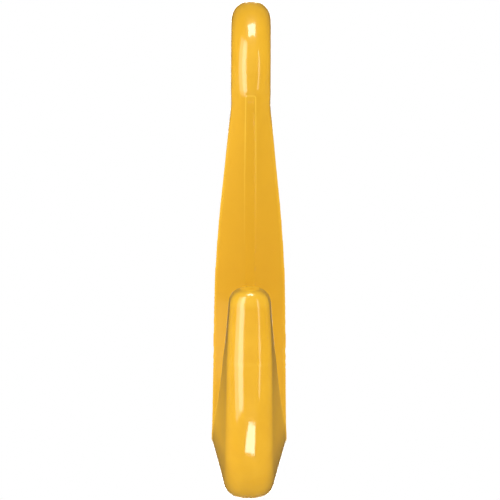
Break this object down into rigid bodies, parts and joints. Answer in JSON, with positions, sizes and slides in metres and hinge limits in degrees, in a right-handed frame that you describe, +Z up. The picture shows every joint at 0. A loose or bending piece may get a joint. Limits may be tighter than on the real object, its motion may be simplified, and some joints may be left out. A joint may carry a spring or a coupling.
{
  "type": "eye foundry hook",
  "caption": "Wide-throat eye hook for a lifting chain sling, forged in one piece with a round eye, a crowned bowl and a blunt upturned point, painted yellow.",
  "frame": {"origin": "centre of the hole in the eye", "axes": "+X through the hook's thickness and along the eye's hole, +Y towards the back of the shank, -Y out of the throat, +Z up along the load line"},
  "size_m": [0.0312, 0.1254, 0.2049],
  "materials": {
    "yellow_paint": "glossy"
  },
  "bodies": {
    "root": {"eye": "yellow_paint", "shank": "yellow_paint", "bowl": "yellow_paint", "point": "yellow_paint"}
  },
  "joints": []
}
